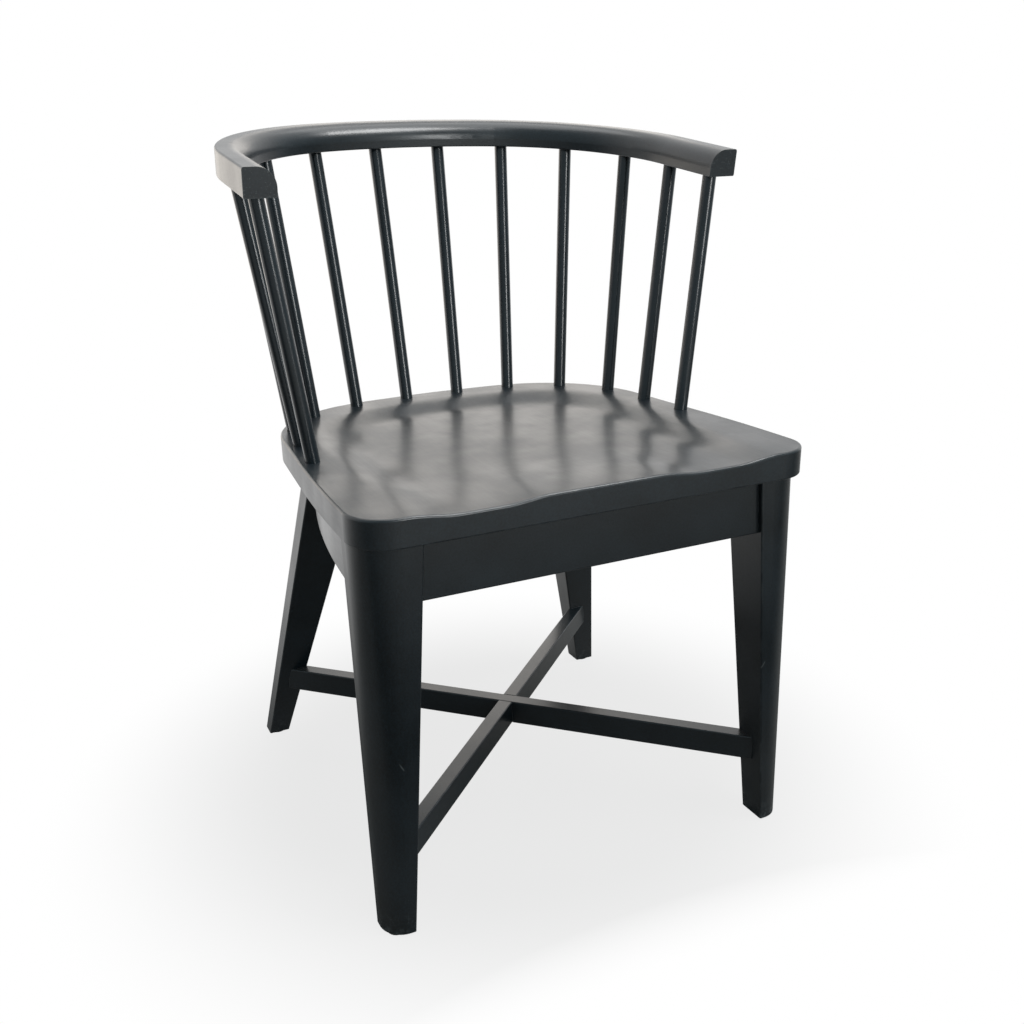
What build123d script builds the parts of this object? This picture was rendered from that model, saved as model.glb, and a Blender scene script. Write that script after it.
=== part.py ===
from build123d import *
import math
import os

os.makedirs("parts", exist_ok=True)

# Overall size, millimetres. Front faces -Y, floor at Z = 0, mirrored left and right about X = 0.
WIDTH = 571.5
DEPTH = 533.4
HEIGHT = 812.8

# Fits
GLUE_LINE = 0.1
SOCKET_END_GAP = 1.0
SCREW_FIT = 0.15

# Saddle seat
SEAT_TOP = 465.0
SEAT_THICKNESS = 30.0
SEAT_FRONT_HALF_WIDTH = 259.5
SEAT_CORNER_RADIUS = 42.0
SEAT_ROUND_OVER = 2.5
SEAT_UNDER_EDGE = 1.5
SEAT_RIM = 15.0
SADDLE_HALF_WIDTH = 210.0
SADDLE_BACK_LENGTH = 190.0
SADDLE_CENTRE_Y = -20.0
SADDLE_DEPTH = 9.0
SADDLE_FRONT_DEPTH = 5.0
SADDLE_FRONT_LENGTH = 150.0
SADDLE_SQUARENESS = 3
SADDLE_FLAT_SHARE = 0.74
POMMEL_RISE = 4.0
POMMEL_LENGTH = 170.0
POMMEL_CREST_HALF_WIDTH = 62.0
POMMEL_FOOT_HALF_WIDTH = 112.0
SADDLE_GRID_STEPS = 48
SADDLE_GRID_MARGIN = 20.0
SADDLE_GRID_SIDE_MARGIN = 26.25

# Line of spindle feet on the seat
FEET_HALF_WIDTH = 235.4
FEET_FRONT_Y = -45.0
FEET_FLARE = 5.2
FEET_SHOULDER_RADIUS = 138.0
FEET_BACK_RADIUS = 660.0
FEET_BACK_Y = 197.0

# Top rail, bent in a plane that rises to the back
RAIL_TILT = 8.1
RAIL_DEPTH = 34.0
RAIL_HEIGHT = 29.5
RAIL_END_Y = -62.0
RAIL_FLARE = 0.5
RAIL_SHOULDER_RADIUS = 205.0
RAIL_BACK_RADIUS = 450.0
RAIL_INNER_ROUND = 20.0
RAIL_OUTER_ROUND = 2.5
RAIL_UNDER_ROUND = 1.5

# Spindles
SPINDLES_PER_SIDE = 6
BACK_SPINDLES_PER_SIDE = 4
SPINDLE_DIAMETER = 16.0
SPINDLE_RAIL_PITCH = 86.0
SPINDLE_ARM_PITCH = 81.5
SEAT_SOCKET_DEPTH = 20.0
RAIL_SOCKET_DEPTH = 18.0

# Feet
GLIDE_THICKNESS = 3.0
GLIDE_DIAMETER = 22.0
NAIL_DIAMETER = 2.4
NAIL_LENGTH = 16.0
NAIL_HEAD_DIAMETER = 6.0
NAIL_HEAD_THICKNESS = 1.0
NAIL_HEAD_RECESS = 1.4

# Front legs: outer faces upright, inner faces tapered
FRONT_LEG_SIDE_INSET = 4.0
FRONT_LEG_FRONT_INSET = 6.7
FRONT_LEG_TOP_WIDTH = 62.5
FRONT_LEG_FOOT_WIDTH = 32.5
FRONT_LEG_TOP_DEPTH = 62.0
FRONT_LEG_FOOT_DEPTH = 35.0
FRONT_LEG_TOP_ROUND = 46.0
FRONT_LEG_FOOT_ROUND = 26.0

# Rear legs: splayed outward and raked back
REAR_LEG_TOP_INNER_X = 123.0
REAR_LEG_TOP_OUTER_X = 194.5
REAR_LEG_TOP_FRONT_Y = 102.0
REAR_LEG_TOP_DEPTH = 50.0
REAR_LEG_FOOT_INNER_X = 235.0
REAR_LEG_FOOT_OUTER_X = 262.5
REAR_LEG_FOOT_FRONT_Y = 213.0
REAR_LEG_FOOT_DEPTH = 29.0
REAR_LEG_TOP_ROUND = 22.0
REAR_LEG_FOOT_ROUND = 8.0
LEG_ARRIS = 2.0

# Aprons
APRON_HEIGHT = 61.0
APRON_THICKNESS = 20.0
APRON_ARRIS = 1.5
FRONT_APRON_SETBACK = 6.0
REAR_APRON_FRONT_Y = 122.0
SIDE_APRON_FRONT_INSET = 9.5
SIDE_APRON_MIDDLE_X = 230.0
SIDE_APRON_REAR_X = 190.0
APRON_HOUSING = 14.0

# Dowels
DOWEL_DIAMETER = 8.0
DOWEL_LENGTH = 40.0
DOWEL_SPACING = 30.0
STRETCHER_DOWEL_LENGTH = 34.0

# Cross stretcher
STRETCHER_WIDTH = 18.0
STRETCHER_HEIGHT = 30.0
STRETCHER_TOP = 109.0
STRETCHER_FRONT_INSET = 6.0
STRETCHER_FRONT_SETBACK = 28.0
STRETCHER_REAR_X = 222.0
STRETCHER_REAR_Y = 191.0
STRETCHER_HOUSING = 8.0
STRETCHER_ARRIS = 1.5

# Corner blocks and screws
BLOCK_HEIGHT = 40.0
FRONT_BLOCK_APRON_REACH = 73.0
FRONT_BLOCK_SIDE_REACH = 135.0
REAR_BLOCK_REACH_X = 55.0
REAR_BLOCK_REACH_Y = 25.0
SCREW_DIAMETER = 4.0
SCREW_HEAD_DIAMETER = 8.0
SCREW_HEAD_HEIGHT = 2.6
SCREW_DRIVE_WIDTH = 0.9
SCREW_DRIVE_SPAN = 4.2
SCREW_DRIVE_DEPTH = 1.4
SCREW_TIP = 4.0
LEG_SCREW_LENGTH = 52.0
SEAT_SCREW_BITE = 15.0
FRONT_SEAT_SCREW_INSET = 38.0
FRONT_SEAT_SCREW_SETBACK = 41.0
REAR_SEAT_SCREW_X = 168.0
REAR_SEAT_SCREW_Y = 75.0
REAR_LEG_SCREW_INSET = 12.0
LAP_SCREW_LENGTH = 24.0

# Derived sizes
SEAT_BOTTOM = SEAT_TOP - SEAT_THICKNESS
SEAT_FRONT_Y = -DEPTH / 2
SEAT_BACK_Y = FEET_BACK_Y + SEAT_RIM
FRONT_LEG_OUTER_X = SEAT_FRONT_HALF_WIDTH - FRONT_LEG_SIDE_INSET
FRONT_LEG_TOP_INNER_X = FRONT_LEG_OUTER_X - FRONT_LEG_TOP_WIDTH
FRONT_LEG_FOOT_INNER_X = FRONT_LEG_OUTER_X - FRONT_LEG_FOOT_WIDTH
FRONT_LEG_FRONT_Y = SEAT_FRONT_Y + FRONT_LEG_FRONT_INSET
SIDE_APRON_FRONT_X = FRONT_LEG_OUTER_X - SIDE_APRON_FRONT_INSET
STRETCHER_FRONT_X = FRONT_LEG_FOOT_INNER_X - STRETCHER_FRONT_INSET
STRETCHER_FRONT_Y = FRONT_LEG_FRONT_Y + STRETCHER_FRONT_SETBACK
FRONT_BLOCK_REACH_X = FRONT_LEG_TOP_INNER_X - FRONT_BLOCK_APRON_REACH
FRONT_BLOCK_REACH_Y = FRONT_LEG_FRONT_Y + FRONT_BLOCK_SIDE_REACH
FRONT_SEAT_SCREW_X = FRONT_LEG_TOP_INNER_X - FRONT_SEAT_SCREW_INSET
FRONT_SEAT_SCREW_Y = FRONT_LEG_FRONT_Y + FRONT_SEAT_SCREW_SETBACK
LAP_ROOM_LENGTH = 4 * STRETCHER_WIDTH
APRON_BOTTOM = SEAT_BOTTOM - APRON_HEIGHT
APRON_MIDDLE = SEAT_BOTTOM - APRON_HEIGHT / 2
LEG_FOOT = GLIDE_THICKNESS
TILT_SIN = math.sin(math.radians(RAIL_TILT))
TILT_COS = math.cos(math.radians(RAIL_TILT))
RAIL_UNDER_CENTRE = DEPTH / 2 - RAIL_UNDER_ROUND + RAIL_UNDER_ROUND * TILT_SIN
RAIL_BACK_OUTER = RAIL_UNDER_CENTRE / TILT_COS + RAIL_UNDER_ROUND
RAIL_TOP_REACH = (RAIL_BACK_OUTER - RAIL_OUTER_ROUND) * TILT_SIN
RAIL_TOP_RISE = (RAIL_HEIGHT - RAIL_OUTER_ROUND) * TILT_COS + RAIL_OUTER_ROUND
RAIL_BASE = HEIGHT - RAIL_TOP_REACH - RAIL_TOP_RISE
RAIL_HALF_WIDTH = WIDTH / 2 - RAIL_DEPTH / 2 * math.cos(math.radians(RAIL_FLARE))
FRONT_APRON_FRONT_Y = FRONT_LEG_FRONT_Y + FRONT_APRON_SETBACK
FRONT_APRON_BACK_Y = FRONT_APRON_FRONT_Y + APRON_THICKNESS
SIDES = {"left": -1, "right": 1}
UPRIGHT = (Align.CENTER, Align.CENTER, Align.MIN)


def save(shape, name):
    shape.label = name
    export_step(shape, f"parts/{name}.step")


def on_side(shape, side):
    # Everything is drawn on the right and mirrored to the left.
    if side > 0:
        return shape
    return mirror(shape, about=Plane.YZ)


def rod(start, end, diameter):
    span = Vector(end) - Vector(start)
    base = Plane(origin=Vector(start), z_dir=span)
    return base * Cylinder(diameter / 2, span.length, align=UPRIGHT)


def across(point):
    # The same place on the other side of the chair.
    return Vector(-point.X, point.Y)


def barrel_line(half_width, front_y, flare, shoulder_radius, back_radius, back_y, offset=0.0):
    # A barrel plan: straight flared arm, tight shoulder arc, shallow back arc, then mirrored.
    angle = math.radians(flare)
    along = Vector(-math.sin(angle), math.cos(angle))
    inward = Vector(-math.cos(angle), -math.sin(angle))
    shoulder = shoulder_radius + offset
    back = back_radius + offset
    start = Vector(half_width, front_y) - inward * offset
    back_centre = Vector(0, back_y - back_radius)
    reach = start + inward * shoulder - back_centre
    lean = reach.dot(along)
    run = math.sqrt(lean * lean - reach.dot(reach) + (back - shoulder) ** 2) - lean
    arm_end = start + along * run
    centre = arm_end + inward * shoulder
    outward = (centre - back_centre).normalized()
    shoulder_end = back_centre + outward * back
    middle = centre + (outward - inward).normalized() * shoulder
    arm = Line(start, arm_end)
    bend = ThreePointArc(arm_end, middle, shoulder_end)
    sweep_back = ThreePointArc(shoulder_end, Vector(0, back_y + offset), across(shoulder_end))
    far_bend = ThreePointArc(across(shoulder_end), across(middle), across(arm_end))
    far_arm = Line(across(arm_end), across(start))
    return [arm, bend, sweep_back, far_bend, far_arm]


def spindle_feet():
    # Evenly pitched feet along the seat line, right front first.
    line = Wire(barrel_line(FEET_HALF_WIDTH, FEET_FRONT_Y, FEET_FLARE, FEET_SHOULDER_RADIUS,
                            FEET_BACK_RADIUS, FEET_BACK_Y))
    count = 2 * SPINDLES_PER_SIDE
    feet = []
    for number in range(count):
        spot = line.position_at(number / (count - 1))
        feet.append(Vector(spot.X, spot.Y, SEAT_TOP))
    return feet


def rail_plane():
    return Plane(origin=(0, 0, RAIL_BASE), x_dir=(1, 0, 0), z_dir=(0, -TILT_SIN, TILT_COS))


def rail_line():
    return Wire(barrel_line(RAIL_HALF_WIDTH, RAIL_END_Y, RAIL_FLARE, RAIL_SHOULDER_RADIUS,
                            RAIL_BACK_RADIUS, RAIL_BACK_OUTER - RAIL_DEPTH / 2))


def spindle_heads():
    # Wider pitch round the back, closer pitch along the two arms.
    line = rail_line()
    half = line.length / 2
    right = []
    for number in range(SPINDLES_PER_SIDE):
        on_back = min(number, BACK_SPINDLES_PER_SIDE - 1)
        run = SPINDLE_RAIL_PITCH * (on_back + 0.5) + SPINDLE_ARM_PITCH * (number - on_back)
        right.append(line.position_at((half - run) / line.length))
    right.reverse()
    spots = right + [across(spot) for spot in reversed(right)]
    return [rail_plane().from_local_coords(spot) for spot in spots]


def make_spindle(foot, head):
    axis = (head - foot).normalized()
    return rod(foot - axis * SEAT_SOCKET_DEPTH, head + axis * RAIL_SOCKET_DEPTH, SPINDLE_DIAMETER)


def spindle_socket(foot, head):
    axis = (head - foot).normalized()
    bottom = foot - axis * (SEAT_SOCKET_DEPTH + SOCKET_END_GAP)
    top = head + axis * (RAIL_SOCKET_DEPTH + SOCKET_END_GAP)
    return rod(bottom, top, SPINDLE_DIAMETER + 2 * GLUE_LINE)


def make_rail(feet, heads):
    path = rail_line()
    start = path.position_at(0)
    inward = Vector(-math.cos(math.radians(RAIL_FLARE)), -math.sin(math.radians(RAIL_FLARE)))
    section_plane = Plane(origin=start, x_dir=inward, z_dir=path.tangent_at(0))
    section = Pos(0, RAIL_HEIGHT / 2) * Rectangle(RAIL_DEPTH, RAIL_HEIGHT)
    corners = section.vertices().group_by(Axis.Y)
    low = corners[0]
    outer_top = corners[-1].sort_by(Axis.X)[0]
    inner_top = corners[-1].sort_by(Axis.X)[-1]
    section = fillet(low, RAIL_UNDER_ROUND)
    section = fillet(section.vertices().sort_by_distance(outer_top)[0], RAIL_OUTER_ROUND)
    section = fillet(section.vertices().sort_by_distance(inner_top)[0], RAIL_INNER_ROUND)
    rail = rail_plane() * sweep(section_plane * section, path=path)
    for foot, head in zip(feet, heads):
        rail -= spindle_socket(foot, head)
    return rail


def seat_blank():
    rim = barrel_line(FEET_HALF_WIDTH, FEET_FRONT_Y, FEET_FLARE, FEET_SHOULDER_RADIUS,
                      FEET_BACK_RADIUS, FEET_BACK_Y, SEAT_RIM)
    arm_start = rim[0] @ 0
    forward = (rim[0] % 0) * -1
    corner = Vector(SEAT_FRONT_HALF_WIDTH, SEAT_FRONT_Y)
    side_edge = TangentArc(arm_start, corner, tangent=forward)
    far_corner = Vector(-SEAT_FRONT_HALF_WIDTH, SEAT_FRONT_Y)
    front_edge = Line(corner, far_corner)
    far_side = mirror(side_edge, about=Plane.YZ)
    outline = make_face([*rim, side_edge, front_edge, far_side])
    blank = extrude(Pos(0, 0, SEAT_BOTTOM) * outline, SEAT_THICKNESS + SADDLE_DEPTH)
    front_corners = blank.edges().filter_by(Axis.Z).group_by(Axis.Y)[0]
    return fillet(front_corners, SEAT_CORNER_RADIUS)


def smooth_step(start, end, value):
    share = min(max((value - start) / (end - start), 0.0), 1.0)
    return share * share * (3 - 2 * share)


def saddle_level(x, y):
    # A broad hollow inside a flat rim, shallower at the front edge and parted there by a raised pommel.
    sideways = abs(x) / SADDLE_HALF_WIDTH
    backward = max(y - SADDLE_CENTRE_Y, 0) / SADDLE_BACK_LENGTH
    reach = (sideways ** SADDLE_SQUARENESS + backward ** SADDLE_SQUARENESS) ** (1 / SADDLE_SQUARENESS)
    deepening = smooth_step(0, SADDLE_FRONT_LENGTH, y - SEAT_FRONT_Y)
    depth = SADDLE_FRONT_DEPTH + (SADDLE_DEPTH - SADDLE_FRONT_DEPTH) * deepening
    hollow = depth * (1 - smooth_step(SADDLE_FLAT_SHARE, 1, reach))
    beside = smooth_step(POMMEL_CREST_HALF_WIDTH, POMMEL_FOOT_HALF_WIDTH, abs(x))
    behind = smooth_step(0, POMMEL_LENGTH, y - SEAT_FRONT_Y)
    return SEAT_TOP - hollow + POMMEL_RISE * (1 - beside) * (1 - behind)


def saddle_waste():
    # The wood above the saddled top, from its surface up.
    half_width = SEAT_FRONT_HALF_WIDTH + SADDLE_GRID_SIDE_MARGIN
    front = SEAT_FRONT_Y - SADDLE_GRID_MARGIN
    back = SEAT_BACK_Y + SADDLE_GRID_MARGIN
    rows = []
    for row in range(SADDLE_GRID_STEPS + 1):
        x = half_width * (2 * row / SADDLE_GRID_STEPS - 1)
        levels = []
        for step in range(SADDLE_GRID_STEPS + 1):
            y = front + (back - front) * step / SADDLE_GRID_STEPS
            levels.append(Vector(x, y, saddle_level(x, y)))
        rows.append(levels)
    surface = Face.make_surface_from_array_of_points(rows)
    return extrude(surface, 2 * SEAT_THICKNESS, dir=(0, 0, 1))


def make_seat(feet, heads):
    seat = seat_blank() - saddle_waste()
    saddle = seat.faces().sort_by(Axis.Z)[-1]
    seat = fillet(saddle.edges(), SEAT_ROUND_OVER)
    seat = fillet(seat.edges().group_by(Axis.Z)[0], SEAT_UNDER_EDGE)
    for foot, head in zip(feet, heads):
        seat -= spindle_socket(foot, head)
    return seat


def leg_section(inner_x, outer_x, front_y, depth, level, corner_round, rounded_front):
    # A rectangle with one well rounded outer corner and three eased arrises.
    centre_x = (inner_x + outer_x) / 2
    section = Pos(centre_x, front_y + depth / 2) * Rectangle(outer_x - inner_x, depth)
    outer = section.vertices().group_by(Axis.X)[-1].sort_by(Axis.Y)
    corner = outer[0] if rounded_front else outer[-1]
    arrises = [vertex for vertex in section.vertices() if vertex != corner]
    section = fillet(corner, corner_round)
    for arris in arrises:
        section = fillet(section.vertices().sort_by_distance(arris)[0], LEG_ARRIS)
    return Pos(0, 0, level) * section


def make_front_leg():
    top = leg_section(FRONT_LEG_TOP_INNER_X, FRONT_LEG_OUTER_X, FRONT_LEG_FRONT_Y,
                      FRONT_LEG_TOP_DEPTH, SEAT_BOTTOM, FRONT_LEG_TOP_ROUND, True)
    foot = leg_section(FRONT_LEG_FOOT_INNER_X, FRONT_LEG_OUTER_X, FRONT_LEG_FRONT_Y,
                       FRONT_LEG_FOOT_DEPTH, LEG_FOOT, FRONT_LEG_FOOT_ROUND, True)
    return loft([foot, top])


def make_rear_leg():
    top = leg_section(REAR_LEG_TOP_INNER_X, REAR_LEG_TOP_OUTER_X, REAR_LEG_TOP_FRONT_Y,
                      REAR_LEG_TOP_DEPTH, SEAT_BOTTOM, REAR_LEG_TOP_ROUND, False)
    foot = leg_section(REAR_LEG_FOOT_INNER_X, REAR_LEG_FOOT_OUTER_X, REAR_LEG_FOOT_FRONT_Y,
                       REAR_LEG_FOOT_DEPTH, LEG_FOOT, REAR_LEG_FOOT_ROUND, False)
    return loft([foot, top])


def taper(level, at_top, at_foot):
    # A leg size or face position at a given height, between its top and foot values.
    share = (level - LEG_FOOT) / (SEAT_BOTTOM - LEG_FOOT)
    return at_foot + (at_top - at_foot) * share


def straight_apron(front_y, half_length):
    place = Pos(0, front_y + APRON_THICKNESS / 2, APRON_MIDDLE)
    board = place * Box(2 * half_length, APRON_THICKNESS, APRON_HEIGHT)
    low = board.edges().filter_by(Axis.X).group_by(Axis.Z)[0]
    return fillet(low, APRON_ARRIS)


def side_apron_line(inset=0.0):
    # The bowed side apron in plan, from inside the front leg to inside the rear leg.
    front_y = FRONT_LEG_FRONT_Y + FRONT_LEG_TOP_DEPTH - APRON_HOUSING
    rear_y = REAR_APRON_FRONT_Y + APRON_HOUSING / 2
    front = Vector(SIDE_APRON_FRONT_X - inset, front_y)
    rear = Vector(SIDE_APRON_REAR_X - inset, rear_y)
    middle = Vector(SIDE_APRON_MIDDLE_X - inset, (front_y + rear_y) / 2)
    return ThreePointArc(front, middle, rear)


def make_side_apron():
    outer = side_apron_line()
    inner = side_apron_line(APRON_THICKNESS)
    ends = [Line(outer @ 0, inner @ 0), Line(outer @ 1, inner @ 1)]
    face = make_face([outer, inner, *ends])
    return extrude(Pos(0, 0, APRON_BOTTOM) * face, APRON_HEIGHT)


def stretcher_ends():
    rear = Vector(-STRETCHER_REAR_X, STRETCHER_REAR_Y)
    front = Vector(STRETCHER_FRONT_X, STRETCHER_FRONT_Y)
    return rear, front


def crossing_point():
    rear, front = stretcher_ends()
    share = STRETCHER_REAR_X / (STRETCHER_REAR_X + STRETCHER_FRONT_X)
    return rear + (front - rear) * share


def stretcher_blank():
    # The bar from the rear left leg to the front right leg, run on a little into both.
    rear, front = stretcher_ends()
    along = (front - rear).normalized()
    rear = rear - along * STRETCHER_HOUSING
    front = front + along * STRETCHER_HOUSING
    middle = (rear + front) * 0.5
    level = STRETCHER_TOP - STRETCHER_HEIGHT / 2
    base = Plane(origin=(middle.X, middle.Y, level), x_dir=along, z_dir=(0, 0, 1))
    bar = Box((front - rear).length, STRETCHER_WIDTH, STRETCHER_HEIGHT)
    bar = fillet(bar.edges().filter_by(Axis.X), STRETCHER_ARRIS)
    return base * bar


def lap_room(level):
    # The half-height room that the bar needs where the other one crosses it.
    rear, front = stretcher_ends()
    centre = crossing_point()
    base = Plane(origin=(centre.X, centre.Y, level), x_dir=front - rear, z_dir=(0, 0, 1))
    return base * Box(LAP_ROOM_LENGTH, STRETCHER_WIDTH + 2 * GLUE_LINE, STRETCHER_HEIGHT / 2)


def make_screw(head_point, direction, length, room=0.0):
    # A countersunk screw; with room added it is the hole that the screw needs.
    base = Plane(origin=Vector(head_point), z_dir=Vector(direction))
    radius = SCREW_DIAMETER / 2 + room
    head = Cone(SCREW_HEAD_DIAMETER / 2 + room, radius, SCREW_HEAD_HEIGHT, align=UPRIGHT)
    shank = Cylinder(radius, length - SCREW_TIP, align=UPRIGHT)
    tip = Pos(0, 0, length - SCREW_TIP) * Cone(radius, radius / 4, SCREW_TIP + room, align=UPRIGHT)
    screw = head + shank + tip
    if room == 0:
        slot = Box(SCREW_DRIVE_SPAN, SCREW_DRIVE_WIDTH, SCREW_DRIVE_DEPTH, align=UPRIGHT)
        screw = screw - slot - Rot(0, 0, 90) * slot
    return base * screw


def make_glide(spot):
    place = Pos(spot.X, spot.Y, 0)
    disc = place * Cylinder(GLIDE_DIAMETER / 2, GLIDE_THICKNESS, align=UPRIGHT)
    recess = place * Cylinder(NAIL_HEAD_DIAMETER / 2 + SCREW_FIT, NAIL_HEAD_RECESS, align=UPRIGHT)
    return disc - recess - make_nail(spot, GLUE_LINE)


def make_nail(spot, room=0.0):
    place = Pos(spot.X, spot.Y, NAIL_HEAD_RECESS - NAIL_HEAD_THICKNESS)
    head = place * Cylinder(NAIL_HEAD_DIAMETER / 2, NAIL_HEAD_THICKNESS, align=UPRIGHT)
    shank = place * Cylinder(NAIL_DIAMETER / 2 + room, NAIL_LENGTH + room, align=UPRIGHT)
    return shank + head if room == 0 else shank


def dowel(centre, direction, length, room=0.0):
    # A dowel half in each of two pieces; with room added it is the hole for it.
    reach = Vector(direction).normalized() * (length / 2)
    spare = Vector(direction).normalized() * (SOCKET_END_GAP if room else 0)
    return rod(centre - reach - spare, centre + reach + spare, DOWEL_DIAMETER + 2 * room)


def apron_dowel_places():
    # Centre and direction of the dowel pairs on the right of the chair, by joint.
    line = side_apron_line(APRON_THICKNESS / 2)
    front_x = taper(APRON_MIDDLE, FRONT_LEG_TOP_INNER_X, FRONT_LEG_FOOT_INNER_X)
    rear_x = taper(APRON_MIDDLE, REAR_LEG_TOP_INNER_X, REAR_LEG_FOOT_INNER_X)
    front_y = FRONT_LEG_FRONT_Y + taper(APRON_MIDDLE, FRONT_LEG_TOP_DEPTH, FRONT_LEG_FOOT_DEPTH)
    rear_y = taper(APRON_MIDDLE, REAR_LEG_TOP_FRONT_Y, REAR_LEG_FOOT_FRONT_Y)
    line_run = (line @ 1).Y - (line @ 0).Y
    at_front = (front_y - (line @ 0).Y) / line_run
    at_rear = (rear_y - (line @ 0).Y) / line_run
    return {
        "front": (Vector(front_x, FRONT_APRON_FRONT_Y + APRON_THICKNESS / 2), Vector(1, 0)),
        "side front": (line @ at_front, line % at_front),
        "side rear": (line @ at_rear, line % at_rear),
        "rear": (Vector(rear_x, REAR_APRON_FRONT_Y + APRON_THICKNESS / 2), Vector(1, 0)),
    }


def apron_dowels(joint, room=0.0):
    spot, direction = apron_dowel_places()[joint]
    pins = []
    for step in (-0.5, 0.5):
        centre = Vector(spot.X, spot.Y, APRON_MIDDLE + step * DOWEL_SPACING)
        pins.append(dowel(centre, direction, DOWEL_LENGTH, room))
    return pins


def stretcher_dowels(room=0.0):
    rear, front = stretcher_ends()
    level = Vector(0, 0, STRETCHER_TOP - STRETCHER_HEIGHT / 2)
    along = front - rear
    rear_pin = dowel(rear + level, along, STRETCHER_DOWEL_LENGTH, room)
    front_pin = dowel(front + level, along, STRETCHER_DOWEL_LENGTH, room)
    return rear_pin, front_pin


def block_line(end):
    # The sloping inner face of a corner block in plan.
    if end == "front":
        begin = Vector(FRONT_BLOCK_REACH_X, FRONT_APRON_BACK_Y)
        return begin, Vector(SIDE_APRON_FRONT_X, FRONT_BLOCK_REACH_Y)
    begin = Vector(REAR_BLOCK_REACH_X, REAR_APRON_FRONT_Y)
    return begin, Vector(SIDE_APRON_MIDDLE_X, REAR_BLOCK_REACH_Y)


def make_block(end, corner, neighbours):
    # A block cut to lie against its leg and both aprons.
    begin, finish = block_line(end)
    face = make_face(Polyline(begin, finish, corner, close=True))
    block = extrude(Pos(0, 0, SEAT_BOTTOM - BLOCK_HEIGHT) * face, BLOCK_HEIGHT)
    for neighbour in neighbours:
        block -= neighbour
    return Part() + block.solids().sort_by(SortBy.VOLUME)[-1]


def leg_screw(end, aim, room=0.0):
    # The screw runs square to the sloping face of the block, into the leg.
    begin, finish = block_line(end)
    along = (finish - begin).normalized()
    start = begin + along * (aim - begin).dot(along)
    level = Vector(0, 0, APRON_MIDDLE)
    return make_screw(start + level, aim - start, LEG_SCREW_LENGTH, room)


def seat_screw(x, y, room=0.0):
    head_point = Vector(x, y, SEAT_BOTTOM - BLOCK_HEIGHT)
    return make_screw(head_point, Vector(0, 0, 1), BLOCK_HEIGHT + SEAT_SCREW_BITE, room)


def lap_screw(room=0.0):
    centre = crossing_point()
    head_point = Vector(centre.X, centre.Y, STRETCHER_TOP - STRETCHER_HEIGHT)
    return make_screw(head_point, Vector(0, 0, 1), LAP_SCREW_LENGTH, room)


def both_sides(shapes):
    return [on_side(shape, side) for side in SIDES.values() for shape in shapes]


def cut(shape, tools):
    for tool in tools:
        shape -= tool
    return shape


def save_group(shapes, name):
    save(Compound(children=[solid for shape in shapes for solid in shape.solids()]), name)


feet = spindle_feet()
heads = spindle_heads()

# Legs and aprons before drilling
front_leg = make_front_leg()
rear_leg = make_rear_leg()
front_apron = straight_apron(FRONT_APRON_FRONT_Y, FRONT_LEG_TOP_INNER_X + APRON_HOUSING)
rear_apron = straight_apron(REAR_APRON_FRONT_Y, REAR_LEG_TOP_INNER_X + 2 * APRON_HOUSING)
front_apron = cut(front_apron, both_sides([front_leg]))
rear_apron = cut(rear_apron, both_sides([rear_leg]))
side_apron = cut(make_side_apron(), [front_leg, rear_leg])

# Corner blocks
front_corner = Vector(SIDE_APRON_FRONT_X, FRONT_APRON_BACK_Y)
rear_corner = Vector(SIDE_APRON_REAR_X, REAR_APRON_FRONT_Y)
front_block = make_block("front", front_corner, [front_leg, front_apron, side_apron])
rear_block = make_block("rear", rear_corner, [rear_leg, rear_apron, side_apron])

# Screws
front_aim = Vector(FRONT_LEG_TOP_INNER_X, FRONT_LEG_FRONT_Y + FRONT_LEG_TOP_DEPTH)
rear_aim_x = taper(APRON_MIDDLE, REAR_LEG_TOP_INNER_X, REAR_LEG_FOOT_INNER_X) + REAR_LEG_SCREW_INSET
rear_aim = Vector(rear_aim_x, taper(APRON_MIDDLE, REAR_LEG_TOP_FRONT_Y, REAR_LEG_FOOT_FRONT_Y))
front_leg_hole = leg_screw("front", front_aim, SCREW_FIT)
rear_leg_hole = leg_screw("rear", rear_aim, SCREW_FIT)
front_seat_hole = seat_screw(FRONT_SEAT_SCREW_X, FRONT_SEAT_SCREW_Y, SCREW_FIT)
rear_seat_hole = seat_screw(REAR_SEAT_SCREW_X, REAR_SEAT_SCREW_Y, SCREW_FIT)
front_block = cut(front_block, [front_leg_hole, front_seat_hole])
rear_block = cut(rear_block, [rear_leg_hole, rear_seat_hole])

# Cross stretcher, halved where the bars cross
blank = cut(stretcher_blank(), [front_leg, mirror(rear_leg, about=Plane.YZ)])
rear_pin, front_pin = stretcher_dowels()
rear_pin_hole, front_pin_hole = stretcher_dowels(GLUE_LINE)
blank = cut(blank, [rear_pin_hole, front_pin_hole])
upper_half = lap_room(STRETCHER_TOP - STRETCHER_HEIGHT / 4)
lower_half = mirror(lap_room(STRETCHER_TOP - STRETCHER_HEIGHT * 3 / 4), about=Plane.YZ)
upper_bar = cut(blank, [lower_half, lap_screw(SCREW_FIT)])
lower_bar = cut(mirror(blank, about=Plane.YZ), [upper_half, lap_screw(SCREW_FIT)])

# Glides under the feet
front_foot_x = (FRONT_LEG_FOOT_INNER_X + FRONT_LEG_OUTER_X) / 2
rear_foot_x = (REAR_LEG_FOOT_INNER_X + REAR_LEG_FOOT_OUTER_X) / 2
front_spot = Vector(front_foot_x, FRONT_LEG_FRONT_Y + FRONT_LEG_FOOT_DEPTH / 2)
rear_spot = Vector(rear_foot_x, REAR_LEG_FOOT_FRONT_Y + REAR_LEG_FOOT_DEPTH / 2)

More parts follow.
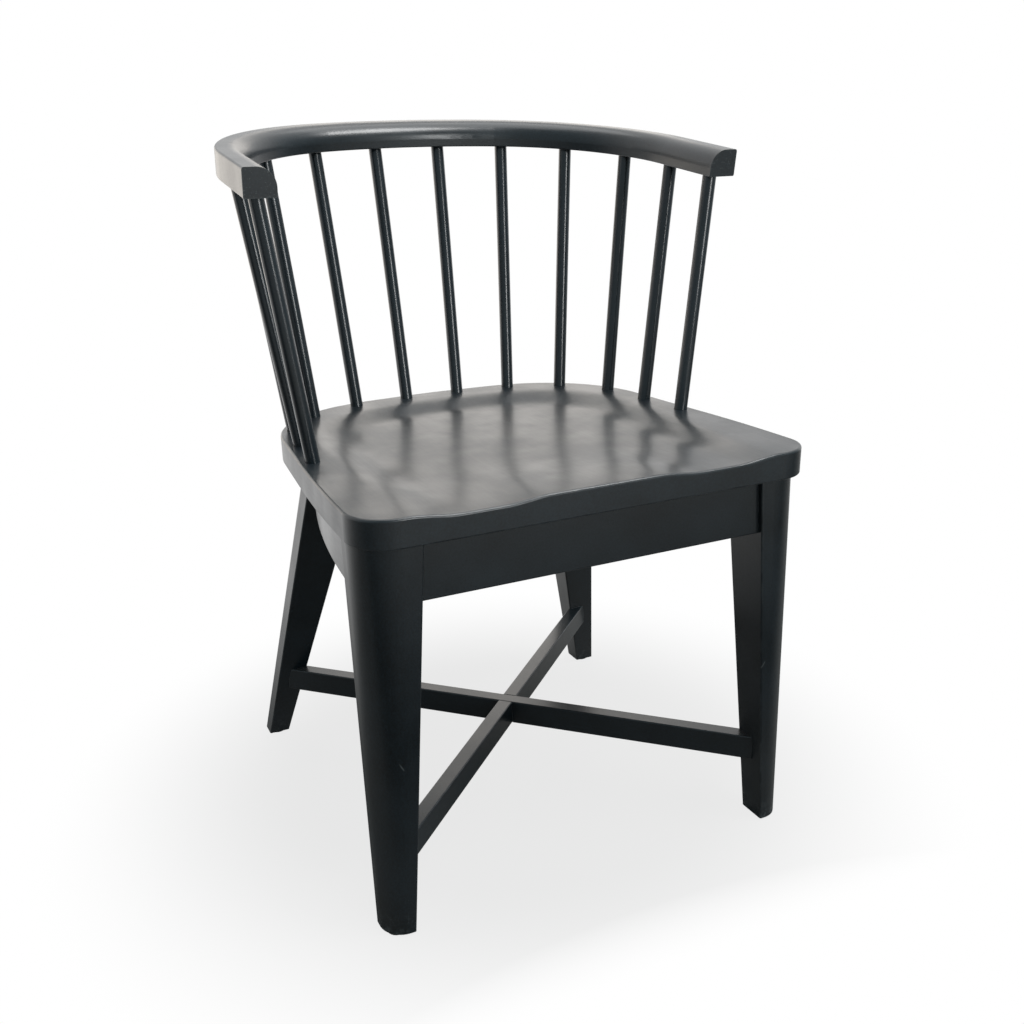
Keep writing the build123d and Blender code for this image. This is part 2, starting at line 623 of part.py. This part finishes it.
# Drilling
pins = {joint: apron_dowels(joint) for joint in apron_dowel_places()}
pin_holes = {joint: apron_dowels(joint, GLUE_LINE) for joint in pins}
front_apron = cut(front_apron, both_sides(pin_holes["front"]))
rear_apron = cut(rear_apron, both_sides(pin_holes["rear"]))
side_apron = cut(side_apron, pin_holes["side front"] + pin_holes["side rear"])
front_leg = cut(front_leg, pin_holes["front"] + pin_holes["side front"])
front_leg = cut(front_leg, [front_pin_hole, front_leg_hole, make_nail(front_spot, GLUE_LINE)])
rear_leg = cut(rear_leg, pin_holes["rear"] + pin_holes["side rear"])
rear_leg = cut(rear_leg, [mirror(rear_pin_hole, about=Plane.YZ), rear_leg_hole])
rear_leg = cut(rear_leg, [make_nail(rear_spot, GLUE_LINE)])
seat = cut(make_seat(feet, heads), both_sides([front_seat_hole, rear_seat_hole]))

save(seat, "seat")
save(make_rail(feet, heads), "top_rail")
for number, (foot, head) in enumerate(zip(feet, heads), start=1):
    save(make_spindle(foot, head), f"spindle_{number:02d}")
for word, side in SIDES.items():
    save(on_side(front_leg, side), f"front_leg_{word}")
    save(on_side(rear_leg, side), f"rear_leg_{word}")
    save(on_side(side_apron, side), f"side_apron_{word}")
    save(on_side(front_block, side), f"corner_block_front_{word}")
    save(on_side(rear_block, side), f"corner_block_rear_{word}")
    save(on_side(make_glide(front_spot), side), f"glide_front_{word}")
    save(on_side(make_glide(rear_spot), side), f"glide_rear_{word}")
save(front_apron, "front_apron")
save(rear_apron, "rear_apron")
save(upper_bar, "cross_stretcher_upper")
save(lower_bar, "cross_stretcher_lower")
save_group(both_sides([pin for pair in pins.values() for pin in pair]), "apron_dowels")
save_group(both_sides([rear_pin, front_pin]), "stretcher_dowels")
save_group(both_sides([leg_screw("front", front_aim), leg_screw("rear", rear_aim)]), "leg_screws")
front_seat_screw = seat_screw(FRONT_SEAT_SCREW_X, FRONT_SEAT_SCREW_Y)
rear_seat_screw = seat_screw(REAR_SEAT_SCREW_X, REAR_SEAT_SCREW_Y)
save_group(both_sides([front_seat_screw, rear_seat_screw]), "seat_screws")
save(lap_screw(), "lap_screw")
save_group(both_sides([make_nail(front_spot), make_nail(rear_spot)]), "glide_nails")
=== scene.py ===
import math

import bpy
from mathutils import Matrix, Vector

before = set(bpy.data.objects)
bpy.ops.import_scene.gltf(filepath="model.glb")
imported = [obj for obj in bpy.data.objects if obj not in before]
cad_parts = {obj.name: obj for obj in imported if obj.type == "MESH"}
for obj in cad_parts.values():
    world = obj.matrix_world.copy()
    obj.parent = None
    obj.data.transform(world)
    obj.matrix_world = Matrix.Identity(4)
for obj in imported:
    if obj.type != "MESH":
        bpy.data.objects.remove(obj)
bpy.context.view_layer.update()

MM = 0.001

# Camera at the photograph's place: metres, degrees, and pixels of a 1024 pixel square frame
FRAME_PIXELS = 1024
SENSOR_MM = 36.0
CAMERA_PLACE = (-0.51998, -1.12692, 0.7783)
CAMERA_AZIMUTH = -23.637
CAMERA_ELEVATION = 20.111
CAMERA_ROLL = -1.8
FOCAL_PIXELS = 1065.95
CENTRE_PIXEL = (476.36, 536.73)

# Which way the wood grain runs in each piece, as the turn in degrees that lays it along Z
UPRIGHT_GRAIN = (0.0, 0.0, 0.0)
CROSSWISE_GRAIN = (0.0, 90.0, 0.0)
LENGTHWISE_GRAIN = (90.0, 0.0, 0.0)
STRETCHER_GRAIN_ONE = (90.0, 0.0, 45.0)
STRETCHER_GRAIN_TWO = (90.0, 0.0, -45.0)

# Pieces that share a finish
LEGS = ["front_leg_left", "front_leg_right", "rear_leg_left", "rear_leg_right"]
SPINDLES = [f"spindle_{number:02d}" for number in range(1, 13)]
CROSS_APRONS = ["front_apron", "rear_apron"]
SIDE_APRONS = ["side_apron_left", "side_apron_right"]
CORNERS = ["front_left", "front_right", "rear_left", "rear_right"]
BLOCKS = [f"corner_block_{corner}" for corner in CORNERS]
GLIDES = [f"glide_{corner}" for corner in CORNERS]
DOWELS = ["apron_dowels", "stretcher_dowels"]
SCREWS_AND_NAILS = ["leg_screws", "seat_screws", "lap_screw", "glide_nails"]

# Satin black lacquer
PAINT_DARK = "#050b0e"
PAINT_PALE = "#121d23"
# Paler paint for worn marks, which along the arrises is also a painted highlight
PAINT_WORN_AND_HIGHLIGHT = "#4c5152"
WORN_AND_HIGHLIGHT_SHARE = 0.7
GRAIN_SPACING = 3 * MM
GRAIN_LENGTH = 60 * MM
GRAIN_RELIEF = 0.08 * MM
SPRAY_SIZE = 2 * MM
SPRAY_RELIEF = 0.06 * MM
POLISH_SIZE = 70 * MM

# Roughness of the satin coat, from its most polished to its dullest patches
FRAME_GLOSS = (0.28, 0.36)
SPINDLE_GLOSS = (0.17, 0.23)
SEAT_GLOSS = (0.29, 0.42)

# Marks in the paint, and a painted highlight along the arrises, metres in the chair's frame
ARRIS_WIDTH = 2 * MM
WEAR_AND_HIGHLIGHT_LENGTH = 25 * MM
SCUFF_TOP = 0.036
SCUFF_FULL = 0.008
SCUFF_SIZE = 9 * MM
LEG_FRONT_Y = -0.26
LEG_SCRATCHES = [((-0.2445, 0.2334), (-0.2257, 0.1986)), ((-0.2405, 0.2215), (-0.2342, 0.2092)),
                 ((0.2078, 0.2085), (0.2141, 0.2186))]
SCRATCH_EDGE = 1.0 * MM
SCRATCH_CORE = 0.3 * MM
SCRATCH_TAPER = 3 * MM
RAIL_END_Y = -0.0608
PORE_SPACING = 1.5 * MM

# Bare beech, zinc plate and nylon
BEECH_FLECK = "#a8794f"
BEECH_GROUND = "#d3ab7f"
FLECK_WIDTH = 2 * MM
FLECK_LENGTH = 30 * MM
FLECK_RELIEF = 0.1 * MM
ZINC = "#b9bcbd"
PLATING_SIZE = 3 * MM
NYLON_DARK = "#141414"
NYLON_SCUFFED = "#35342f"
GLIDE_SCUFF_SIZE = 1.5 * MM
GLIDE_RELIEF = 0.05 * MM

# Studio: white, and the floor's greys near the chair, in a dim band before it and far in front
WHITE = "#ffffff"
FLOOR_NEAR = "#6c6c6a"
FLOOR_DIM = "#343433"
FLOOR_FAR = "#c4c4c2"
FLOOR_RADIUS = 6.0
FLOOR_WHITE_SHARE = 0.78
COOL_ROOM = "#d3e5ee"
DIM_ROOM_LEVEL = 0.5

# Where the floor changes, in metres from the chair's middle or along Y, and the dim band as shares
# of the run of greys
SHADOW_FADE = (0.25, 0.6)
FRONT_FADE = (-0.1, -0.42)
SHEEN_FADE = (0.0, 1.2)
GREYS_RUN = (-2.4, -0.35)
DIM_BAND = (0.8, 0.9)

# Soft boxes: name, place, aim, width and height in metres, watts, colour
SOFT_BOXES = [
    ("window_back_left", (-1.1, 2.9, 0.75), (0.0, 0.0, 0.6), 2.0, 1.4, 6.6, "#fff1de"),
    ("window_back_right", (1.4, 3.0, 1.7), (0.0, 0.0, 0.5), 1.6, 1.6, 5.5, "#fff4e6"),
    ("strip_front_right", (0.75, -2.8, 1.05), (0.0, 0.0, 0.65), 0.5, 1.0, 19.0, "#f6f8f8"),
    ("ceiling", (0.6, 0.4, 3.0), (0.6, 0.4, 0.0), 2.0, 2.0, 25.0, WHITE),
    ("ceiling_front", (1.2, -1.1, 2.9), (0.0, -0.2, 0.46), 1.0, 1.0, 52.0, WHITE),
]

# Node settings that recur
SMOOTH = {"interpolation_type": "SMOOTHSTEP"}
TIMES = {"operation": "MULTIPLY"}
TIMES_PLUS = {"operation": "MULTIPLY_ADD"}
LARGER = {"operation": "MAXIMUM"}
COLOURS = {"data_type": "RGBA"}


def linear(hex_colour):
    # sRGB hex to the linear colour that a shader socket takes.
    parts = [int(hex_colour[place:place + 2], 16) / 255 for place in (1, 3, 5)]
    return tuple(p / 12.92 if p <= 0.04045 else ((p + 0.055) / 1.055) ** 2.4 for p in parts) + (1.0,)


def add(tree, kind, settings=None, **sockets):
    # One node with its settings, then its sockets: a value, an output to link, or a node for its
    # first output.
    made = tree.nodes.new(kind)
    for name, value in (settings or {}).items():
        setattr(made, name, value)
    for name, value in sockets.items():
        key = int(name[1:]) if name[1:].isdigit() else name.replace("_", " ")
        if isinstance(value, bpy.types.Node):
            value = value.outputs[0]
        if isinstance(value, bpy.types.NodeSocket):
            tree.links.new(value, made.inputs[key])
        else:
            made.inputs[key].default_value = value
    return made


def new_material(name):
    made = bpy.data.materials.new(name)
    made.use_nodes = True
    made.node_tree.nodes.clear()
    return made, made.node_tree


def grain_place(tree, place, grain_turn, width, length):
    # Coordinates turned so that the grain runs along Z, and drawn out there to its length.
    turn = tuple(math.radians(angle) for angle in grain_turn)
    turned = add(tree, "ShaderNodeMapping", {"vector_type": "POINT"}, Vector=place, Rotation=turn)
    return add(tree, "ShaderNodeVectorMath", TIMES, _0=turned, _1=(1.0, 1.0, width / length))


def worn_and_highlit_arrises(tree, place):
    # Paler along the edges, in broken lengths: paint rubbed thin, and partly a painted highlight on the
    # arrises, where a narrow bevel would turn the surface.
    eased = add(tree, "ShaderNodeBevel", {"samples": 4}, Radius=ARRIS_WIDTH)
    flat = add(tree, "ShaderNodeNewGeometry").outputs["Normal"]
    turned = add(tree, "ShaderNodeVectorMath", {"operation": "DOT_PRODUCT"}, _0=eased, _1=flat)
    edge = add(tree, "ShaderNodeMapRange", SMOOTH, Value=turned.outputs["Value"], From_Min=0.995,
               From_Max=0.93)
    noise = add(tree, "ShaderNodeTexNoise", Vector=place, Scale=1 / WEAR_AND_HIGHLIGHT_LENGTH, Detail=4.0)
    broken = add(tree, "ShaderNodeMapRange", SMOOTH, Value=noise, From_Min=0.42, From_Max=0.62)
    return add(tree, "ShaderNodeMath", TIMES, _0=edge, _1=broken)


def leg_marks(tree, place):
    # Shoe scuffs round the feet, and hairline scratches on the front faces of the front legs.
    apart = add(tree, "ShaderNodeSeparateXYZ", Vector=place)
    low_down = add(tree, "ShaderNodeMapRange", SMOOTH, Value=apart.outputs["Z"], From_Min=SCUFF_TOP,
                   From_Max=SCUFF_FULL)
    noise = add(tree, "ShaderNodeTexNoise", Vector=place, Scale=1 / SCUFF_SIZE, Detail=5.0, Roughness=0.7)
    rubbed = add(tree, "ShaderNodeMapRange", SMOOTH, Value=noise, From_Min=0.45, From_Max=0.75)
    marks = add(tree, "ShaderNodeMath", TIMES, _0=low_down, _1=rubbed)
    on_front = add(tree, "ShaderNodeMapRange", SMOOTH, Value=apart.outputs["Y"],
                   From_Min=LEG_FRONT_Y + 2 * MM, From_Max=LEG_FRONT_Y + 1 * MM)
    for start, end in LEG_SCRATCHES:
        run = Vector(end) - Vector(start)
        middle = (Vector(end) + Vector(start)) / 2
        lean = math.atan2(run.y, run.x)
        along = add(tree, "ShaderNodeMapping", {"vector_type": "TEXTURE"}, Vector=place,
                    Location=(middle.x, 0.0, middle.y), Rotation=(0.0, -lean, 0.0))
        away = add(tree, "ShaderNodeVectorMath", {"operation": "ABSOLUTE"}, _0=along)
        away = add(tree, "ShaderNodeSeparateXYZ", Vector=away)
        # Drawn about three times as wide as a real scratch, so that it shows.
        across = add(tree, "ShaderNodeMapRange", SMOOTH, Value=away.outputs["Z"], From_Min=SCRATCH_EDGE,
                     From_Max=SCRATCH_CORE)
        length = add(tree, "ShaderNodeMapRange", SMOOTH, Value=away.outputs["X"],
                     From_Min=run.length / 2, From_Max=run.length / 2 - SCRATCH_TAPER)
        line = add(tree, "ShaderNodeMath", TIMES, _0=across, _1=length)
        line = add(tree, "ShaderNodeMath", TIMES, _0=line, _1=on_front)
        marks = add(tree, "ShaderNodeMath", LARGER, _0=marks, _1=line)
    return marks


def rail_end_marks(tree, place):
    # Open end grain on the sawn ends of the rail: pale pinholes.
    ahead = add(tree, "ShaderNodeSeparateXYZ", Vector=place).outputs["Y"]
    sawn = add(tree, "ShaderNodeMapRange", SMOOTH, Value=ahead, From_Min=RAIL_END_Y,
               From_Max=RAIL_END_Y - 0.5 * MM)
    noise = add(tree, "ShaderNodeTexNoise", Vector=place, Scale=1 / PORE_SPACING, Detail=1.0)
    pores = add(tree, "ShaderNodeMapRange", SMOOTH, Value=noise, From_Min=0.62, From_Max=0.75)
    return add(tree, "ShaderNodeMath", TIMES, _0=sawn, _1=pores)


def satin_black_lacquer(name, grain_turn, gloss=FRAME_GLOSS, extra_marks=None):
    # Close-grained hardwood, sprayed with black paint and a satin clear coat. The eye gets a blue-green
    # black, a soft sheen that goes grey at a low angle, faint raised grain, a fine spray texture and
    # arrises a little paler, partly rubbed paint and partly a painted highlight.
    made, tree = new_material(name)
    place = add(tree, "ShaderNodeTexCoord").outputs["Object"]
    # Grain lines drawn coarser than the real 1 mm so that they show.
    stretched = grain_place(tree, place, grain_turn, GRAIN_SPACING, GRAIN_LENGTH)
    grain = add(tree, "ShaderNodeTexNoise", Vector=stretched, Scale=1 / GRAIN_SPACING, Detail=3.0,
                Roughness=0.6)
    # Spray texture, and polish from handling in patches.
    spray = add(tree, "ShaderNodeTexNoise", Vector=place, Scale=1 / SPRAY_SIZE, Detail=2.0)
    patches = add(tree, "ShaderNodeTexNoise", Vector=place, Scale=1 / POLISH_SIZE, Detail=3.0)
    cloud = add(tree, "ShaderNodeMath", TIMES, _0=patches, _1=0.5)
    mottle = add(tree, "ShaderNodeMath", TIMES_PLUS, _0=spray, _1=0.8, _2=cloud)
    colour = add(tree, "ShaderNodeValToRGB", Fac=mottle)
    colour.color_ramp.elements[0].position = 0.45
    colour.color_ramp.elements[0].color = linear(PAINT_DARK)
    colour.color_ramp.elements[1].position = 0.85
    colour.color_ramp.elements[1].color = linear(PAINT_PALE)
    marks = worn_and_highlit_arrises(tree, place)
    if extra_marks:
        marks = add(tree, "ShaderNodeMath", LARGER, _0=marks, _1=extra_marks(tree, place))
    # Paler where marked: the arris lines are partly worn paint and partly a painted highlight; the other
    # marks are wear.
    rubbed = add(tree, "ShaderNodeMath", TIMES, _0=marks, _1=WORN_AND_HIGHLIGHT_SHARE)
    painted = add(tree, "ShaderNodeMix", COLOURS, _0=rubbed, _6=colour, _7=linear(PAINT_WORN_AND_HIGHLIGHT))
    sheen = add(tree, "ShaderNodeMapRange", SMOOTH, Value=patches, From_Min=0.3, From_Max=0.7,
                To_Min=gloss[0], To_Max=gloss[1])
    fine = add(tree, "ShaderNodeMath", TIMES_PLUS, _0=grain, _1=0.08, _2=sheen)
    dulled = add(tree, "ShaderNodeMath", TIMES_PLUS, _0=marks, _1=0.15, _2=fine)
    raised = add(tree, "ShaderNodeBump", Height=grain, Strength=0.5, Distance=GRAIN_RELIEF)
    raised = add(tree, "ShaderNodeBump", Height=spray, Strength=0.5, Distance=SPRAY_RELIEF, Normal=raised)
    shader = add(tree, "ShaderNodeBsdfPrincipled", Base_Color=painted.outputs[2], Roughness=dulled,
                 Normal=raised, IOR=1.5, Coat_Weight=0.4, Coat_Roughness=0.22)
    add(tree, "ShaderNodeOutputMaterial", Surface=shader)
    return made


def plain_beech(name, grain_turn):
    # Bare planed beech inside the frame: pale pinkish tan, short dark flecks, dull.
    made, tree = new_material(name)
    place = add(tree, "ShaderNodeTexCoord").outputs["Object"]
    # Flecks drawn coarser than the real ones so that they show.
    stretched = grain_place(tree, place, grain_turn, FLECK_WIDTH, FLECK_LENGTH)
    fleck = add(tree, "ShaderNodeTexNoise", Vector=stretched, Scale=1 / FLECK_WIDTH, Detail=4.0)
    colour = add(tree, "ShaderNodeValToRGB", Fac=fleck)
    colour.color_ramp.elements[0].position = 0.35
    colour.color_ramp.elements[0].color = linear(BEECH_FLECK)
    colour.color_ramp.elements[1].position = 0.7
    colour.color_ramp.elements[1].color = linear(BEECH_GROUND)
    raised = add(tree, "ShaderNodeBump", Height=fleck, Strength=0.3, Distance=FLECK_RELIEF)
    dull = add(tree, "ShaderNodeMapRange", SMOOTH, Value=fleck, From_Min=0.3, From_Max=0.7, To_Min=0.7,
               To_Max=0.58)
    shader = add(tree, "ShaderNodeBsdfPrincipled", Base_Color=colour, Roughness=dull, Normal=raised,
                 IOR=1.5)
    add(tree, "ShaderNodeOutputMaterial", Surface=shader)
    return made


def zinc_plated_steel(name):
    # Bright zinc plate on a rolled screw: cool grey metal, with a sheen that is cloudy in patches.
    made, tree = new_material(name)
    place = add(tree, "ShaderNodeTexCoord").outputs["Object"]
    cloud = add(tree, "ShaderNodeTexNoise", Vector=place, Scale=1 / PLATING_SIZE, Detail=3.0)
    sheen = add(tree, "ShaderNodeMapRange", SMOOTH, Value=cloud, From_Min=0.2, From_Max=0.8, To_Min=0.22,
                To_Max=0.45)
    shader = add(tree, "ShaderNodeBsdfPrincipled", Base_Color=linear(ZINC), Metallic=1.0, Roughness=sheen)
    add(tree, "ShaderNodeOutputMaterial", Surface=shader)
    return made


def moulded_nylon(name):
    # Black nylon glide, moulded: dull skin with fine scuffs from the floor.
    made, tree = new_material(name)
    place = add(tree, "ShaderNodeTexCoord").outputs["Object"]
    scuff = add(tree, "ShaderNodeTexNoise", Vector=place, Scale=1 / GLIDE_SCUFF_SIZE, Detail=4.0)
    colour = add(tree, "ShaderNodeValToRGB", Fac=scuff)
    colour.color_ramp.elements[0].color = linear(NYLON_DARK)
    colour.color_ramp.elements[1].color = linear(NYLON_SCUFFED)
    raised = add(tree, "ShaderNodeBump", Height=scuff, Strength=0.3, Distance=GLIDE_RELIEF)
    dull = add(tree, "ShaderNodeMapRange", SMOOTH, Value=scuff, From_Min=0.3, From_Max=0.7, To_Min=0.52,
               To_Max=0.68)
    shader = add(tree, "ShaderNodeBsdfPrincipled", Base_Color=colour, Roughness=dull, Normal=raised,
                 IOR=1.53)
    add(tree, "ShaderNodeOutputMaterial", Surface=shader)
    return made


def paint(nodes, material):
    for name in nodes:
        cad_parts[name].material_slots[0].material = material


def photo_camera():
    azimuth, elevation, roll = (math.radians(angle) for angle in
                                (CAMERA_AZIMUTH, CAMERA_ELEVATION, CAMERA_ROLL))
    back = Vector((math.sin(azimuth) * math.cos(elevation),
                   -math.cos(azimuth) * math.cos(elevation), math.sin(elevation)))
    right = (-back).cross(Vector((0, 0, 1))).normalized()
    up = right.cross(-back)
    rolled_right = right * math.cos(roll) + up * math.sin(roll)
    rolled_up = up * math.cos(roll) - right * math.sin(roll)
    lens = bpy.data.cameras.new("photo_camera")
    lens.sensor_width = SENSOR_MM
    lens.lens = FOCAL_PIXELS / FRAME_PIXELS * SENSOR_MM
    lens.shift_x = (FRAME_PIXELS / 2 - CENTRE_PIXEL[0]) / FRAME_PIXELS
    lens.shift_y = (CENTRE_PIXEL[1] - FRAME_PIXELS / 2) / FRAME_PIXELS
    camera = bpy.data.objects.new("photo_camera", lens)
    bpy.context.scene.collection.objects.link(camera)
    turn = Matrix((rolled_right, rolled_up, back)).transposed().to_4x4()
    camera.matrix_world = Matrix.Translation(CAMERA_PLACE) @ turn
    bpy.context.scene.camera = camera


def soft_box(name, place, aim, width, height, watts, colour):
    lamp = bpy.data.lights.new(name, "AREA")
    lamp.shape = "RECTANGLE"
    lamp.size = width
    lamp.size_y = height
    lamp.energy = watts
    lamp.color = linear(colour)[:3]
    holder = bpy.data.objects.new(name, lamp)
    bpy.context.scene.collection.objects.link(holder)
    holder.location = place
    holder.visible_camera = False
    holder.rotation_euler = (Vector(aim) - Vector(place)).to_track_quat("-Z", "Y").to_euler()


def studio_floor():
    # A pale floor that keeps a soft shadow under the chair and turns to plain white further out. In
    # front of the chair it lies in the dim half of the room.
    bpy.ops.object.select_all(action="DESELECT")
    bpy.ops.mesh.primitive_circle_add(vertices=96, radius=FLOOR_RADIUS, fill_type="NGON",
                                      location=(0, 0, 0))
    floor = bpy.context.active_object
    floor.name = "studio_floor"
    made, tree = new_material("studio_floor_paint")
    place = add(tree, "ShaderNodeTexCoord").outputs["Object"]
    reach = add(tree, "ShaderNodeVectorMath", {"operation": "LENGTH"}, _0=place).outputs["Value"]
    depth = add(tree, "ShaderNodeSeparateXYZ", Vector=place).outputs["Y"]
    rays = add(tree, "ShaderNodeLightPath")
    # To the eye and through glass: white away from the chair and out in front of it.
    round_chair = add(tree, "ShaderNodeMapRange", SMOOTH, Value=reach, From_Min=SHADOW_FADE[0],
                      From_Max=SHADOW_FADE[1], To_Min=FLOOR_WHITE_SHARE)
    in_front = add(tree, "ShaderNodeMapRange", SMOOTH, Value=depth, From_Min=FRONT_FADE[0],
                   From_Max=FRONT_FADE[1])
    away = add(tree, "ShaderNodeMath", LARGER, _0=round_chair, _1=in_front)
    seen = add(tree, "ShaderNodeMath", LARGER, _0=rays.outputs["Is Camera Ray"],
               _1=rays.outputs["Is Transmission Ray"])
    seen = add(tree, "ShaderNodeMath", TIMES, _0=seen, _1=away)
    # In a sheen: white behind the chair, the dim floor in front.
    behind = add(tree, "ShaderNodeMapRange", SMOOTH, Value=depth, From_Min=SHEEN_FADE[0],
                 From_Max=SHEEN_FADE[1])
    mirrored = add(tree, "ShaderNodeMath", TIMES, _0=behind, _1=rays.outputs["Is Glossy Ray"])
    share = add(tree, "ShaderNodeMath", LARGER, _0=seen, _1=mirrored)
    ahead = add(tree, "ShaderNodeMapRange", Value=depth, From_Min=GREYS_RUN[0], From_Max=GREYS_RUN[1])
    colour = add(tree, "ShaderNodeValToRGB", Fac=ahead)
    colour.color_ramp.elements[0].color = linear(FLOOR_FAR)
    colour.color_ramp.elements[1].color = linear(FLOOR_NEAR)
    for position in DIM_BAND:
        colour.color_ramp.elements.new(position).color = linear(FLOOR_DIM)
    matt = add(tree, "ShaderNodeBsdfDiffuse", Color=colour)
    white = add(tree, "ShaderNodeEmission", Color=linear(WHITE), Strength=1.0)
    mixed = add(tree, "ShaderNodeMixShader", _0=share, _1=matt, _2=white)
    add(tree, "ShaderNodeOutputMaterial", Surface=mixed)
    floor.data.materials.append(made)


def studio_world():
    # White behind the chair, and a dim, cool room on the side that the camera stands on. To the eye and
    # through glass it is white all round.
    world = bpy.data.worlds.new("studio_world")
    bpy.context.scene.world = world
    world.use_nodes = True
    tree = world.node_tree
    tree.nodes.clear()
    way = add(tree, "ShaderNodeTexCoord").outputs["Generated"]
    depth = add(tree, "ShaderNodeSeparateXYZ", Vector=way).outputs["Y"]
    behind = add(tree, "ShaderNodeMapRange", SMOOTH, Value=depth, From_Min=-0.35, From_Max=0.45)
    room = add(tree, "ShaderNodeMapRange", Value=behind, To_Min=DIM_ROOM_LEVEL, To_Max=1.0)
    rays = add(tree, "ShaderNodeLightPath")
    seen = add(tree, "ShaderNodeMath", LARGER, _0=rays.outputs["Is Camera Ray"],
               _1=rays.outputs["Is Transmission Ray"])
    level = add(tree, "ShaderNodeMath", LARGER, _0=room, _1=seen)
    white = add(tree, "ShaderNodeMath", LARGER, _0=behind, _1=seen)
    tint = add(tree, "ShaderNodeMix", COLOURS, _0=white, _6=linear(COOL_ROOM), _7=linear(WHITE))
    light = add(tree, "ShaderNodeBackground", Color=tint.outputs[2], Strength=level)
    add(tree, "ShaderNodeOutputWorld", Surface=light)


paint(LEGS, satin_black_lacquer("satin_black_lacquer_legs", UPRIGHT_GRAIN, extra_marks=leg_marks))
paint(SPINDLES, satin_black_lacquer("satin_black_lacquer_spindles", UPRIGHT_GRAIN, SPINDLE_GLOSS))
paint(["top_rail"], satin_black_lacquer("satin_black_lacquer_rail", CROSSWISE_GRAIN,
                                        extra_marks=rail_end_marks))
paint(CROSS_APRONS, satin_black_lacquer("satin_black_lacquer_cross_aprons", CROSSWISE_GRAIN))
paint(SIDE_APRONS, satin_black_lacquer("satin_black_lacquer_side_aprons", LENGTHWISE_GRAIN))
paint(["seat"], satin_black_lacquer("satin_black_lacquer_seat", LENGTHWISE_GRAIN, SEAT_GLOSS))
paint(["cross_stretcher_upper"], satin_black_lacquer("satin_black_lacquer_stretcher_one",
                                                    STRETCHER_GRAIN_ONE))
paint(["cross_stretcher_lower"], satin_black_lacquer("satin_black_lacquer_stretcher_two",
                                                    STRETCHER_GRAIN_TWO))
paint(BLOCKS, plain_beech("planed_beech_block", CROSSWISE_GRAIN))
paint(DOWELS, plain_beech("turned_beech_dowel", CROSSWISE_GRAIN))
paint(SCREWS_AND_NAILS, zinc_plated_steel("zinc_plated_steel"))
paint(GLIDES, moulded_nylon("moulded_black_nylon"))

photo_camera()
studio_floor()
studio_world()
for box in SOFT_BOXES:
    soft_box(*box)
bpy.context.scene.view_settings.view_transform = "Standard"
